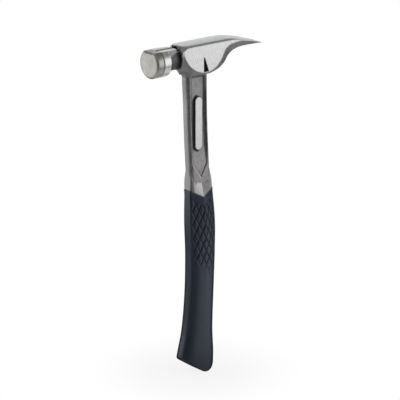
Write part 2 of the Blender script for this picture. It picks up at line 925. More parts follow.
@dataclass(frozen=True)
class HandleForm:
    """Outer form that the grip and the bolster share, and the core inside it.

    Each section is a six-sided form with a ridge on both broad sides, blended with a rounded oblong.
    """

    line: HandleLine = HandleLine()
    v_height: float = 197.7
    v_rise: float = 8.9
    top_depth: float = 32.0
    break_height: float = 216.0
    break_rise: float = 0.25
    neck_half: float = 6.2
    edge_share: float = 0.56
    ridge_soft: float = 0.035
    corner: float = 2.4
    squareness: float = 2.8
    outer: Rows = Rows(
        np.array(
            [
                [-24.0, 48.0, 26.0, 0.0],
                [14.0, 44.0, 26.0, 0.0],
                [45.0, 36.0, 23.6, 0.1],
                [85.0, 33.0, 23.0, 0.2],
                [135.0, 33.4, 23.4, 0.4],
                [167.0, 34.4, 22.8, 0.8],
                [197.7, 32.0, 20.0, 0.95],
                [215.0, 30.0, 13.4, 0.95],
                [226.0, 27.4, 12.0, 0.95],
            ]
        )
    )
    core: Rows = Rows(
        np.array(
            [
                [24.0, 19.0, 8.0],
                [135.0, 19.0, 8.0],
                [188.8, 20.6, 8.0],
                [206.6, 25.4, 12.4],
                [226.0, 27.0, 12.4],
                [347.8, 27.0, 12.4],
            ]
        )
    )

    def half_width(self, z: Array) -> Array:
        """Half the width at z: the rows' smooth value, and a straight taper to the neck over the V's foot.

        Args:
            z: Heights.

        Returns:
            Half the width at each.
        """
        least = 1.0
        rise = (z - self.v_height) / (self.break_height - self.v_height)
        top = self.outer.at(np.asarray(self.v_height), 2) / 2
        taper = np.maximum(top + (self.neck_half - top) * rise, least)
        return np.where(z < self.v_height, self.outer.at(z, 2) / 2, taper)

    def reach(self, angle: Array, z: Array) -> Array:
        """Distance from the middle line to the surface.

        Formula: the lesser of the distances to the front face and to the ridged side, with a rounded corner,
        mixed with a superellipse by the share in the rows.

        Args:
            angle: Angle from +X in radians.
            z: Height.

        Returns:
            Distances of the shape that both make together.
        """
        along = np.abs(np.cos(angle))
        across = np.abs(np.sin(angle))
        half_x = self.outer.at(z, 1) / 2
        sunk = np.where(z > self.v_height, np.maximum(z - self.break_rise * along * half_x, self.v_height), z)
        half_y = self.half_width(sunk)
        share = self.outer.at(z, 3)
        flat = np.clip((sunk - self.v_height) / (self.break_height - self.v_height), 0.0, 1.0)
        edge = self.edge_share + (1.0 - self.edge_share) * flat
        soft = np.sqrt(along**2 + self.ridge_soft**2)
        side = half_y / (across + (1.0 - edge) * half_y / half_x * soft)
        least = 0.001
        front = half_x / np.maximum(along, least)
        six = blend_min(side, front, self.corner)
        p = self.squareness
        oval = ((along / half_x) ** p + (across / half_y) ** p) ** (-1.0 / p)
        return six * share + oval * (1.0 - share)

    def v_level(self, x: Array) -> Array:
        """Height of the V that parts the rubber from the bolster, at x."""
        middle = self.line.middle(np.asarray(self.v_height))
        return self.v_height + np.abs(x - middle) * self.v_rise / (self.top_depth / 2)


@dataclass(frozen=True)
class HeadForm:
    """Head with flat ground cheeks, a slightly domed crown, bevels over and under the cheeks and a claw.

    Slopes are in degrees, and a span gives where a smooth step starts and where it is complete.
    """

    axis: float = 353.6
    rim: float = -27.3
    rim_round: float = 4.2
    rim_side: float = 2.4
    rim_side_span: Span = (6.0, 9.0)
    rim_top_span: Span = (367.0, 363.0)
    rim_corner: float = 3.4
    rim_corner_run: float = 9.0
    rim_slope: float = -11.0
    cheek_x: float = -24.0
    cheek_slope: float = -72.0
    half: float = 12.5
    crown_z: float = 368.5
    crown_drop: float = 2.6
    dome: float = 1.1
    low_z: float = 336.2
    belly: float = 6.0
    heel: float = 31.0
    heel_lift: float = 18.0
    heel_slope: float = 63.0
    heel_out: Pair = (1.1, -1.6)
    heel_out_slope: float = 60.0
    band: float = 5.0
    bevel: float = 3.8
    bevel_loss: float = 0.6
    waist: float = 11.2
    neck_half: float = 13.5
    front_foot_ahead: float = 1.6
    front_foot_drop: float = 0.55
    front_foot_slope: float = -70.0
    back_foot_drop: float = 0.6
    back_foot_slope: float = 11.0
    claw_x: float = 86.0
    claw_z: float = 356.0
    claw_bend: float = 33.0
    claw_slope: float = -17.0
    claw_crown_span: Span = (40.0, 64.0)
    point_x: float = 60.0
    point_drop: float = 3.2
    point_thick: float = 0.6
    point_slope: float = -12.0
    under_point_slopes: Pair = (6.0, -14.0)
    root_x: float = 62.0
    tip_half: float = 8.5
    tip_thick: float = 1.2
    tip_round: float = 0.3
    tip_low_slope: float = -6.0
    side_share: float = 0.9
    bevel_round: float = 0.5
    under_round: float = 1.2
    claw_round: float = 0.4
    steps: int = 10
    maps: dict = field(default_factory=dict)

    def __post_init__(self) -> None:
        """Works out the head's edges and the distance maps of its lower edges."""
        top_z = self.crown_z - self.crown_drop
        tip_top = np.array([self.claw_x, self.claw_z + self.tip_thick / 2])
        tip_low = np.array([self.claw_x, self.claw_z - self.tip_thick / 2])
        lift = np.array([0.0, self.tip_round])
        point = np.array([self.point_x, top_z - self.point_drop])
        low_point = point - [0.0, self.point_thick]
        belly = np.array([self.belly, self.low_z])
        heel = np.array([self.heel, self.low_z + self.heel_lift])
        outer_heel = heel + self.band * np.array(self.heel_out)
        root = np.array([self.root_x, self.claw_z])
        n = self.steps
        crown = [
            straight([self.rim, self.crown_z], [self.claw_bend, self.crown_z], n),
            sweep([self.claw_bend, self.crown_z], 0.0, tip_top, self.claw_slope, 2 * n),
            tip_top[None],
        ]
        cheek_top = [
            straight([self.rim, top_z], [self.claw_bend, top_z], n),
            sweep([self.claw_bend, top_z], 0.0, point, self.point_slope, n),
            sweep(point, self.point_slope, tip_top - lift, self.claw_slope, n),
            (tip_top - lift)[None],
        ]
        cheek_low = [
            sweep([self.cheek_x, self.axis + self.band], self.cheek_slope, belly, 0.0, 2 * n),
            sweep(belly, 0.0, heel, self.heel_slope, 2 * n),
            sweep(heel, self.heel_slope, low_point, self.under_point_slopes[0], 2 * n),
            sweep(low_point, self.under_point_slopes[1], tip_low + lift, self.tip_low_slope, n),
            (tip_low + lift)[None],
        ]
        rim_low = [self.rim, self.axis - self.waist]
        front_foot_x = -self.neck_half - self.front_foot_ahead
        front_foot = np.array([front_foot_x, self.low_z - self.front_foot_drop * self.band])
        back_foot = np.array([self.neck_half, self.low_z - self.back_foot_drop * self.band])
        outline = [
            sweep(rim_low, self.rim_slope, front_foot, self.front_foot_slope, 2 * n),
            front_foot[None],
            sweep(back_foot, self.back_foot_slope, outer_heel, self.heel_out_slope, 2 * n),
            sweep(outer_heel, self.heel_out_slope, root, 0.0, 2 * n),
            straight(root, tip_low, n),
            tip_low[None],
        ]
        margin = 3.0
        front_margin = 6.0
        low_margin = 14.0
        x_span = (self.rim - front_margin, self.claw_x + margin)
        z_span = (self.low_z - low_margin, self.crown_z + margin)
        low_edge = EdgeLine(np.concatenate(cheek_low))
        under_edge = EdgeLine(np.concatenate(outline))
        self.maps["crown"] = EdgeLine(np.concatenate(crown))
        self.maps["cheek_top"] = EdgeLine(np.concatenate(cheek_top))
        self.maps["low"] = FlatMap(low_edge.under, x_span, z_span)
        self.maps["under"] = FlatMap(under_edge.under, x_span, z_span)

    def cheek_half(self, x: Array) -> Array:
        """Half width of the cheek at x, narrowing along the claw by a smooth step."""
        share = (x - self.heel) / (self.claw_x - self.heel + self.band)
        return self.half - (self.half - self.tip_half) * ease(share)

    def half_at(self, x: Array, z: Array) -> Array:
        """Half width at x and z.

        Formula: that of the cheek, less the bevel by the share of the way from the cheek's lower edge to the
        outline.

        Args:
            x, z: Places along the axes.

        Returns:
            Half widths.
        """
        low = np.clip(self.maps["low"].at(x, z), 0.0, None)
        room = np.clip(-self.maps["under"].at(x, z), 0.0, None)
        along = np.clip((x - self.claw_bend) / (self.claw_x - self.claw_bend), 0.0, 1.0)
        fall = self.bevel * (1.0 - self.bevel_loss * along)
        least_room = 1e-6
        return self.cheek_half(x) - fall * low / (low + room + least_room)

    def crown_at(self, x: Array, y: Array) -> Array:
        """Height of the crown at x and y.

        Formula: a parabola across the head that falls by the dome at the cheeks, and on the claw by the whole
        distance to the cheek's upper edge.

        Args:
            x, y: Places along the axes.

        Returns:
            Heights.
        """
        top = self.maps["crown"].level(x)
        rest = top - self.maps["cheek_top"].level(x) - self.dome
        fall = self.dome + rest * fade(x, *self.claw_crown_span)
        return top - fall * (y / self.cheek_half(x)) ** 2

    def bevel_away(self, x: Array, y: Array, z: Array) -> Array:
        """Distance to the bevel between crown and cheek, positive outside; it widens towards the front."""
        turned = self.rim_corner * fade(x, self.rim + self.rim_corner_run, self.rim)
        return (np.abs(y) - self.cheek_half(x) + z - self.maps["cheek_top"].level(x) + turned) * DIAGONAL

    def shape(self, x: Array, y: Array, z: Array) -> Array:
        """Field of the head: the common part of its cheeks, crown, bevels, underside and front wall.

        Args:
            x, y, z: Places along the axes.

        Returns:
            The field, negative inside.
        """
        sides = (np.abs(y) - self.half_at(x, z)) * self.side_share
        made = np.maximum(sides, z - self.crown_at(x, y))
        made = blend_max(made, self.bevel_away(x, y, z), self.bevel_round)
        made = blend_max(made, self.maps["under"].at(x, z), self.under_round)
        flatter = self.rim_side * fade(np.abs(y), *self.rim_side_span) * fade(z, *self.rim_top_span)
        made = blend_max(made, self.rim - x, self.rim_round - flatter)
        return blend_max(made, x - self.claw_x, self.claw_round)


@dataclass(frozen=True)
class NotchForm:
    """V between the claw's prongs, with a round root."""

    root_x: float = 50.0
    root_radius: float = 0.9
    mouth_x: float = 86.0
    mouth_half: float = 4.5

    def shape(self, x: Array, y: Array) -> Array:
        """Distance to the notch's walls, negative in the notch.

        Args:
            x, y: Places along the axes.

        Returns:
            The field, negative inside.
        """
        rise = (self.mouth_half - self.root_radius) / (self.mouth_x - self.root_x)
        wall = np.abs(y) - self.root_radius - rise * (x - self.root_x)
        end = np.hypot(x - self.root_x, y) - self.root_radius
        return np.where(x > self.root_x, wall, end)


@dataclass(frozen=True)
class SlotForm:
    """Dagger-shaped nail slot in a cheek."""

    foot_x: float = 2.5
    foot_z: float = 337.4
    width: float = 6.1
    tip_z: float = 352.6
    tip_from: float = 0.1
    tip_to: float = 0.7
    floor: float = 9.1
    maps: dict = field(default_factory=dict)

    def __post_init__(self) -> None:
        """Works out the slot's outline."""
        outline = np.array(
            [
                [self.foot_x, self.foot_z],
                [self.foot_x + self.width, self.foot_z],
                [self.foot_x + self.tip_to, self.tip_z],
                [self.foot_x + self.tip_from, self.tip_z],
                [self.foot_x, self.foot_z],
            ]
        )
        margin = 4.0
        x_span = (self.foot_x - margin, self.foot_x + self.width + margin)
        z_span = (self.foot_z - margin, self.tip_z + margin)
        self.maps["outline"] = FlatMap(EdgeLine(outline).within, x_span, z_span)

    def shape(self, x: Array, y: Array, z: Array) -> Array:
        """Field of the slots in both cheeks, negative in them."""
        return np.maximum(self.maps["outline"].at(x, z), self.floor - np.abs(y))


@dataclass(frozen=True)
class PollForm:
    """Ring, waist and flat nail deck between the striking face and the head."""

    axis: float = 353.6
    ring_front: float = -53.0
    ring_back: float = -43.0
    ring_round: float = 2.2
    ring_edge_round: float = 0.6
    radius: float = 15.99
    waist: float = 11.2
    waist_fall: float = 2.4
    waist_end: float = 4.0
    waist_fillet: float = 4.5
    overlap: float = 2.0
    deck_z: float = 366.5
    deck_half: float = 9.2
    deck_fall: float = 1.8
    deck_foot: float = 6.0
    deck_fillet: float = 3.0
    deck_round: float = 0.7
    rim: float = -27.3
    groove_radius: float = 2.4
    groove_depth: float = 1.5
    slot_front: float = -30.7
    slot_end: float = -21.3
    slot_radius: float = 4.56
    slot_z: float = 367.1
    lip_z: float = 363.8
    slot_round: float = 0.6
    bore: float = 8.05
    bore_round: float = 0.5
    bore_end: float = -43.5
    screw_x: float = -48.0
    screw_bore: float = 3.05
    screw_top: float = 352.6
    magnet_x: float = -34.7
    magnet_bore: float = 3.05
    magnet_floor: float = 361.0
    magnet_round: float = 0.3

    def round_off(self, y: Array, z: Array) -> Array:
        """Distance from the striking axis."""
        return np.hypot(y, z - self.axis)

    def shape(self, x: Array, y: Array, z: Array) -> Array:
        """Field of the ring, the waist and the deck, run together.

        Args:
            x, y, z: Places along the axes.

        Returns:
            The field, negative inside.
        """
        r = self.round_off(y, z)
        ring = blend_max(r - self.radius, x - self.ring_back, self.ring_round)
        ring = blend_max(ring, self.ring_front - x, self.ring_edge_round)
        narrow = fade(x, self.ring_back + self.overlap, self.rim)
        ahead = self.ring_front + self.overlap - x
        waist = r - self.waist + self.waist_fall * narrow * (y / np.maximum(r, 1.0)) ** 2
        waist = np.maximum(waist, np.maximum(ahead, x - self.rim - self.waist_end))
        deck = np.maximum(np.abs(y) - self.deck_half + self.deck_fall * narrow, z - self.deck_z)
        deck = np.maximum(deck, np.maximum(ahead, x - self.rim - self.overlap))
        deck = np.maximum(deck, self.axis + self.deck_foot - z)
        return blend_min(blend_min(ring, waist, self.waist_fillet), deck, self.deck_fillet)

    def cuts(self, x: Array, y: Array, z: Array) -> list[tuple[Array, float]]:
        """What is cut from the poll and the head's front.

        Args:
            x, y, z: Places along the axes.

        Returns:
            Fields that are negative in what is cut away, each with the rounding of its edges.
        """
        r = self.round_off(y, z)
        groove_z = self.deck_z - self.groove_depth + self.groove_radius
        top_flat = np.maximum(self.deck_z - z, x - self.rim)
        groove = np.maximum(np.hypot(y, z - groove_z) - self.groove_radius, x - self.rim)
        pocket = np.maximum(x - self.slot_end, self.slot_front - x)
        pocket = np.maximum(pocket, np.hypot(y, z - self.slot_z) - self.slot_radius)
        pocket = np.maximum(pocket, z - self.slot_z)
        lip = np.maximum(np.maximum(x - self.rim, self.slot_front - x), self.lip_z - z)
        stud = np.maximum(r - self.bore, x - self.bore_end)
        screw = np.maximum(np.hypot(x - self.screw_x, y) - self.screw_bore, z - self.screw_top)
        magnet = np.maximum(np.hypot(x - self.magnet_x, y) - self.magnet_bore, self.magnet_floor - z)
        return [
            (top_flat, self.deck_round),
            (groove, self.bore_round),
            (pocket, self.slot_round),
            (lip, self.slot_round),
            (stud, self.bore_round),
            (screw, self.bore_round),
            (magnet, self.magnet_round),
        ]


@dataclass(frozen=True)
class NeckForm:
    """Neck and tang with rounded corners, a long pocket in both sides and a plain raised bar in each.

    A share flattens a slanted field to about the slope of a distance.
    """

    form: HandleForm = HandleForm()
    depth_half: float = 13.5
    neck_span: Span = (190.0, 222.0)
    bottom: float = 24.0
    top: float = 347.8
    corner: float = 3.4
    bulge: float = 0.9
    flare: float = 1.5
    flare_span: Span = (296.0, 333.0)
    tang_corner: float = 1.6
    pocket_depth: float = 2.6
    foot_depth: float = 0.8
    floor_span: Span = (226.0, 258.0)
    floor_round: float = 0.5
    lip: float = 3.0
    lip_round: float = 0.3
    pocket_top: float = 333.0
    pocket_corner: float = 3.2
    pocket_bottom: float = 219.0
    pocket_point: float = 1.6
    pocket_share: float = 0.75
    bar_half: float = 4.75
    bar_reach: float = 24.25
    bar_z: float = 280.0
    bar_drop: float = 0.4
    bar_fillet: float = 0.35
    inset: float = 0.55
    bolster_top: float = 226.0
    bolster_share: float = 0.9
    v_share: float = 0.87
    v_round: float = 0.5
    seam_fillet: float = 0.15
    seam_growth: float = 1.6
    seam_span: Span = (8.0, 13.0)
    maps: dict = field(default_factory=dict)

    def __post_init__(self) -> None:
        """Works out the pocket's outline: straight sides, a flat top with round corners, a pointed bottom."""
        side_points = 12
        corner_points = 7
        middle = self.form.line.middle
        half = self.depth_half - self.lip
        corner_z = self.pocket_top - self.pocket_corner
        shoulder = self.pocket_bottom + self.pocket_point * half
        z = np.linspace(shoulder, corner_z, side_points)
        turn = np.linspace(0.0, np.pi / 2, corner_points)
        tip = np.array([[float(middle(np.asarray(self.pocket_bottom))), self.pocket_bottom]])
        inner = half - self.pocket_corner
        round_x = inner + self.pocket_corner * np.cos(turn)
        round_z = corner_z + self.pocket_corner * np.sin(turn)
        back = np.stack([middle(z) + half, z], axis=1)
        front = np.stack([middle(z) - half, z], axis=1)[::-1]
        back_top = np.stack([round_x, round_z], axis=1)
        front_top = np.stack([-round_x, round_z], axis=1)[::-1]
        outline = np.concatenate([tip, back, back_top, front_top, front, tip])
        margin = 6.0
        x_span = (-20.0, 24.0)
        z_span = (self.pocket_bottom - margin, self.pocket_top + margin)
        self.maps["pocket"] = FlatMap(EdgeLine(outline).within, x_span, z_span)

    def bar_away(self, x: Array, z: Array) -> Array:
        """Distance to the bar's outline, negative inside: that to a line, less half the bar's width.

        Args:
            x, z: Places along the axes.

        Returns:
            The distance.
        """
        along = np.clip(z - self.bar_z, -self.bar_reach, self.bar_reach)
        middle = self.form.line.middle(np.asarray(self.bar_z))
        return np.hypot(x - middle, z - self.bar_z - along) - self.bar_half

    def shape(self, x: Array, y: Array, z: Array) -> Array:
        """Field of the tang, the neck with its pockets and bars, and the bolster.

        Formula: a rounded oblong carried along the middle line; each pocket's wall slopes in by its distance
        from the outline, down to its floor; the bolster is the shared outer form, a little inset, over the V.

        Args:
            x, y, z: Places along the axes.

        Returns:
            The field.
        """
        form = self.form
        side = np.abs(y)
        off = x - form.line.middle(z)
        half_x = form.core.at(z, 1) / 2
        half_y = form.core.at(z, 2) / 2
        in_neck = fade(z, *self.neck_span)
        corner = self.tang_corner + (self.corner - self.tang_corner) * in_neck
        flare = self.flare * fade(z, *self.flare_span) * (x < 0.0)
        out = half_x - self.bulge * in_neck * (y / half_y) ** 2 + flare
        qx = np.abs(off) - out + corner
        qy = side - half_y + corner
        outside = np.hypot(np.maximum(qx, 0.0), np.maximum(qy, 0.0))
        core = outside + np.minimum(np.maximum(qx, qy), 0.0) - corner
        wall = self.maps["pocket"].at(x, z)
        floor = self.foot_depth + (self.pocket_depth - self.foot_depth) * fade(z, *self.floor_span)
        deep = blend_max(wall, -floor, self.floor_round)
        core = blend_max(core, (side - form.neck_half - deep) * self.pocket_share, self.lip_round)
        bar = np.maximum(self.bar_away(x, z), side - form.neck_half + self.bar_drop)
        core = blend_min(core, bar, self.bar_fillet)
        core = np.maximum(core, np.maximum(self.bottom - z, z - self.top))
        angle = np.arctan2(y, off)
        bolster = (np.hypot(off, y) - form.reach(angle, z) + self.inset) * self.bolster_share
        bolster = blend_max(bolster, (form.v_level(x) - z) * self.v_share, self.v_round)
        bolster = np.maximum(bolster, z - self.bolster_top)
        seam = self.seam_fillet + self.seam_growth * fade(np.abs(off), *self.seam_span)
        return blend_min(core, bolster, seam)


# Pieces


@dataclass(frozen=True)
class CastMarks:
    """Where the casting is ground, brushed, turned, blackened, worn and shaded, as shares from 0 to 1.

    The points are rows of X, Y and Z in millimetres, and the bend is that of the casting's field at each.
    A span gives where a smooth step starts and where it is complete.
    """

    head: HeadForm
    poll: PollForm
    neck: NeckForm
    slots: SlotForm
    points: Array
    bend: Array
    cheek_depth: Span = (-0.8, -0.4)
    cheek_front: Span = (-0.4, 0.2)
    cheek_edge: Span = (0.0, 0.5)
    cheek_top: Span = (0.1, 0.5)
    heel_trim: float = 1.2
    heel_span: Span = (18.0, 34.0)
    bar_edge: Span = (0.15, 0.5)
    bar_top: Span = (5.4, 5.7)
    crown_depth: Span = (-0.55, -0.25)
    crown_front: Span = (0.3, 1.6)
    crown_edge: Span = (0.1, 0.35)
    bevel_line: Span = (0.35, 0.15)
    bevel_share: float = 0.8
    deck_depth: Span = (-0.5, -0.25)
    bed_margin: float = 0.3
    ring_depth: Span = (-1.1, -0.6)
    ring_margin: float = 0.3
    slot_edge: Span = (-0.35, 0.0)
    slot_margin: float = 0.5
    hole_front: Span = (-0.3, 0.3)
    hole_back: Span = (0.6, 0.3)
    hole_wall: Span = (0.5, 0.2)
    hole_top: Span = (-0.1, -0.9)
    hole_share: float = 0.8
    moat_front: float = 2.2
    moat_back: float = 0.5
    moat_edge: Span = (0.6, 0.0)
    moat_mouth: Span = (5.6, 5.2)
    moat_reach: float = 60.0
    pocket_floor: Span = (3.0, 3.4)
    neck_reach: float = 14.0
    facet_top: float = 213.4
    facet_edge: Span = (0.3, -0.3)
    facet_width: Span = (12.5, 8.0)
    facet_drop: float = 4.0
    facet_turn: float = 0.25
    facet_shade: float = 0.3
    head_span: Span = (318.0, 300.0)
    nose_front: Span = (-12.4, -13.4)
    nose_side: Span = (4.6, 3.6)
    nose_share: float = 0.3
    corner_front: Span = (-10.6, -11.6)
    corner_side: Span = (4.2, 5.0)
    corner_top: Span = (224.0, 216.0)
    corner_shade: float = 0.45
    rim_width: Span = (0.8, 0.3)
    rim_top: Span = (250.0, 240.0)
    rim_side: float = 5.6
    worn_bend: Span = (0.5, 1.6)
    collar_rise: Span = (351.0, 359.0)
    collar_front: Span = (-0.4, 0.6)
    collar_back: Span = (0.0, -1.0)
    collar_side: Span = (7.0, 9.0)
    hollow_bend: Span = (0.12, 0.7)
    hollow_share: float = 0.65
    throat_shares: Pair = (0.72, 0.28)
    throat_front: Span = (-0.6, 1.2)
    throat_back: Span = (-7.0, -0.8)
    throat_end: Span = (1.6, 0.4)
    throat_depth: Span = (1.2, 0.4)
    rear_wall: Span = (8.4, 9.6)
    rear_mouth: Span = (6.1, 5.8)
    rear_ends: Span = (44.0, 30.0)
    rear_shade: float = 0.8
    tip_run: Span = (56.0, 74.0)
    tip_side: Span = (3.0, 4.5)
    tip_shade: float = 0.45
    belly_edge: Span = (-0.3, 0.5)
    belly_shade: float = 0.22
    margin: float = 1.0

    def off(self) -> Array:
        """Distance behind the handle's middle line."""
        x, _, z = self.points.T
        return x - self.neck.form.line.middle(z)

    def cheek(self) -> Array:
        """Share of the flat ground cheek.

        Returns:
            The share at each point.
        """
        x, y, z = self.points.T
        head = self.head
        flat = fade(np.abs(y) - head.half_at(x, z), *self.cheek_depth)
        flat = flat * fade(x - head.cheek_x, *self.cheek_front)
        trim = self.heel_trim * fade(x, *self.heel_span)
        inside = fade(-head.maps["low"].at(x, z) - trim, *self.cheek_edge)
        below = fade(-head.bevel_away(x, y, z), *self.cheek_top)
        return inside * flat * below * (z > head.low_z - self.margin)

    def bar(self) -> Array:
        """Share of the raised bar's ground top."""
        x, y, z = self.points.T
        top = fade(-self.neck.bar_away(x, z), *self.bar_edge) * fade(np.abs(y), *self.bar_top)
        return top * (z > self.neck.pocket_bottom)

    def crown(self) -> Array:
        """Share of the brushed crown and of the line along its bevels.

        Returns:
            The share at each point.
        """
        x, y, z = self.points.T
        head = self.head
        under_bevel = -head.bevel_away(x, y, z)
        top = fade(z - head.crown_at(x, y), *self.crown_depth) * fade(x - head.rim, *self.crown_front)
        line = fade(np.abs(under_bevel), *self.bevel_line) * (x > head.rim + self.margin) * (z > head.low_z)
        return np.maximum(top * fade(under_bevel, *self.crown_edge), line * self.bevel_share)

    def deck(self) -> Array:
        """Share of the poll's flat deck and of the nail's bed in it.

        Returns:
            The share at each point.
        """
        x, y, z = self.points.T
        poll = self.poll
        flat = fade(-np.abs(z - poll.deck_z), *self.deck_depth) * (x < self.head.rim)
        bed = (x < poll.slot_front) * (np.abs(y) < poll.groove_radius)
        bed = bed * (z > poll.deck_z - poll.groove_depth - self.bed_margin)
        return np.maximum(flat, bed)

    def turned(self) -> Array:
        """Share of the ring's turned outside."""
        x, y, z = self.points.T
        outside = fade(self.poll.round_off(y, z) - self.poll.radius, *self.ring_depth)
        return outside * (x < self.poll.ring_back + self.ring_margin)

    def recess(self) -> Array:
        """Share of what is blackened: the cheeks' slots, the bar's moat and the hole for the nail's head.

        Returns:
            The share at each point.
        """
        x, y, z = self.points.T
        side = np.abs(y)
        poll = self.poll
        slot = fade(-self.slots.shape(x, y, z), *self.slot_edge)
        slot = slot * (side > self.slots.floor - self.slot_margin)
        hole = fade(x - poll.slot_front, *self.hole_front) * fade(x - poll.slot_end, *self.hole_back)
        hole = hole * fade(np.hypot(y, z - poll.slot_z) - poll.slot_radius, *self.hole_wall)
        hole = hole * fade(z - poll.deck_z, *self.hole_top)
        moat = np.where(self.off() < 0.0, self.moat_front, self.moat_back)
        walls = fade(np.abs(self.neck.bar_away(x, z)) - moat, *self.moat_edge)
        walls = walls * fade(side, *self.moat_mouth) * fade(side, *self.pocket_floor)
        walls = walls * (np.abs(z - self.neck.bar_z) < self.moat_reach) * (np.abs(x) < self.neck_reach)
        return np.maximum(np.maximum(slot, walls), hole * self.hole_share)

    def facet(self, turn: float) -> Array:
        """Share of the bolster's facets on one side of the middle line.

        Args:
            turn: Half the width of the change between both sides, negative for the facets in front.

        Returns:
            The share at each point.
        """
        z = self.points[:, 2]
        off = self.off()
        break_z = self.facet_top + self.neck.form.break_rise * np.abs(off)
        made = fade(z - break_z, *self.facet_edge) * fade(np.abs(off), *self.facet_width)
        return made * (z > self.neck.form.v_height - self.facet_drop) * fade(off, -turn, turn)

    def below_head(self) -> Array:
        """Share of the neck and bolster below the head."""
        z = self.points[:, 2]
        return fade(z, *self.head_span) * (z > self.neck.form.v_height)

    def corner(self) -> Array:
        """Share of the dull corner in front of the bolster."""
        _, y, z = self.points.T
        made = fade(self.off(), *self.corner_front) * fade(np.abs(y), *self.corner_side)
        return made * fade(z, *self.corner_top) * self.below_head()

    def worn(self) -> Array:
        """Share of the worn edges: sharp bends, front facets, the pocket's foot, the bar and the collar.

        Returns:
            The share at each point.
        """
        x, y, z = self.points.T
        side = np.abs(y)
        off = self.off()
        rim = fade(np.abs(self.neck.maps["pocket"].at(x, z)), *self.rim_width) * fade(z, *self.rim_top)
        rim = rim * (off < 0.0) * (side > self.rim_side) * (z > self.neck.pocket_bottom - self.margin)
        nose = fade(off, *self.nose_front) * fade(side, *self.nose_side) * self.below_head()
        edges = np.maximum(fade(self.bend, *self.worn_bend), self.facet(-self.facet_turn))
        edges = np.maximum(edges, np.maximum(rim, nose * self.nose_share))
        collar = fade(z, *self.collar_rise) * fade(x - self.head.rim, *self.collar_front)
        collar = collar * fade(x - self.head.cheek_x, *self.collar_back) * fade(side, *self.collar_side)
        return np.maximum(edges * (1.0 - self.corner()), np.maximum(self.bar(), collar))

    def hollow(self) -> Array:
        """Share of the shade in hollow bends, in the poll's throat and on faces turned from the light.

        Returns:
            The share at each point.
        """
        x, y, z = self.points.T
        side = np.abs(y)
        poll = self.poll
        near, far = self.throat_shares
        throat = near * fade(x - poll.ring_back, *self.throat_front)
        throat = throat + far * fade(x - poll.rim, *self.throat_back)
        throat = throat * fade(x - poll.rim, *self.throat_end)
        throat = throat * fade(poll.round_off(y, z) - poll.waist, *self.throat_depth)
        rear = fade(self.off(), *self.rear_wall) * fade(side, *self.rear_mouth)
        rear = rear * fade(side, *self.pocket_floor) * fade(np.abs(z - self.neck.bar_z), *self.rear_ends)
        rear = rear * (np.abs(x) < self.neck_reach)
        bare = 1.0 - self.crown()
        tip = fade(x, *self.tip_run) * fade(side, *self.tip_side) * bare
        belly = fade(self.head.maps["low"].at(x, z), *self.belly_edge) * bare
        belly = belly * (z > self.neck.pocket_top) * (x > self.head.rim + self.margin)
        shades = [
            fade(-self.bend, *self.hollow_bend) * self.hollow_share,
            throat,
            self.facet(self.facet_turn) * self.facet_shade,
            tip * self.tip_shade,
            rear * self.rear_shade,
            self.corner() * self.corner_shade,
            belly * self.belly_shade,
        ]
        return np.max(shades, axis=0)


@dataclass
class CastBody:
    """The one-piece cast body: head, claw, poll, neck, bolster and tang."""

    head: HeadForm = field(default_factory=HeadForm)
    poll: PollForm = field(default_factory=PollForm)
    neck: NeckForm = field(default_factory=NeckForm)
    notch: NotchForm = field(default_factory=NotchForm)
    slots: SlotForm = field(default_factory=SlotForm)
    finish: CastTitanium = field(default_factory=CastTitanium)
    poll_fillet: float = 1.6
    neck_fillet: float = 1.8
    notch_round: float = 0.7
    slot_round: float = 0.4
    fine: float = 0.6
    middling: float = 0.85
    wide: float = 4.0
    stops: tuple[float, ...] = (20.0, 192.0, 232.0, 320.0, 370.0)
    front: float = -54.2
    back: float = 87.3
    side_steps: int = 28
    slope_reach: float = 0.25
    bend_reach: float = 0.9

    def shape(self, x: Array, y: Array, z: Array) -> Array:
        """Field of the whole casting.

        Args:
            x, y, z: Places along the axes.

        Returns:
            The field, negative in the metal.
        """
        made = blend_min(self.head.shape(x, y, z), self.poll.shape(x, y, z), self.poll_fillet)
        made = blend_min(made, self.neck.shape(x, y, z), self.neck_fillet)
        for cut, rounding in self.poll.cuts(x, y, z):
            made = blend_max(made, -cut, rounding)
        made = blend_max(made, -self.notch.shape(x, y), self.notch_round)
        return blend_max(made, -self.slots.shape(x, y, z), self.slot_round)

    def levels(self) -> Array:
        """Heights of the grid: wide steps in the tang, fine in bolster and head, middling in the neck."""
        steps = (self.wide, self.fine, self.middling, self.fine)
        return np.concatenate([np.arange(*part) for part in zip(self.stops, self.stops[1:], steps)])

    def paint(self, skin: Skin, points: Array, bend: Array) -> None:
        """Stores where the casting is ground, brushed, turned, blackened, worn and shaded.

        Args:
            skin: The mesh.
            points: Its points in millimetres.
            bend: Bend of the field at each point.
        """
        marks = CastMarks(self.head, self.poll, self.neck, self.slots, points, bend)
        skin.paint("ground", np.maximum(marks.cheek(), marks.bar()))
        skin.paint("crown", np.maximum(marks.crown(), marks.deck()))
        skin.paint("turned", marks.turned())
        skin.paint("recess", marks.recess())
        skin.paint("edge", marks.worn())
        skin.paint("hollow", marks.hollow())

    def build(self) -> bpy.types.Object:
        """Builds and dresses the casting.

        Returns:
            The piece.
        """
        xs = np.arange(self.front, self.back, self.fine)
        ys = np.arange(-self.side_steps, self.side_steps + 1) * self.fine
        net = SurfaceNet(self.shape, xs, ys, self.levels())
        points, faces = net.skin()
        points = net.settle(points)
        _, slope, _ = net.slope(points, self.slope_reach)
        _, _, bend = net.slope(points, self.bend_reach)
        skin = Skin("hammer_casting", points, [faces])
        self.paint(skin, points, bend)
        skin.lean(slope / np.linalg.norm(slope, axis=1, keepdims=True))
        return skin.mount(Body.HAMMER, Slot.TITANIUM, "hammer_body", self.finish.material())


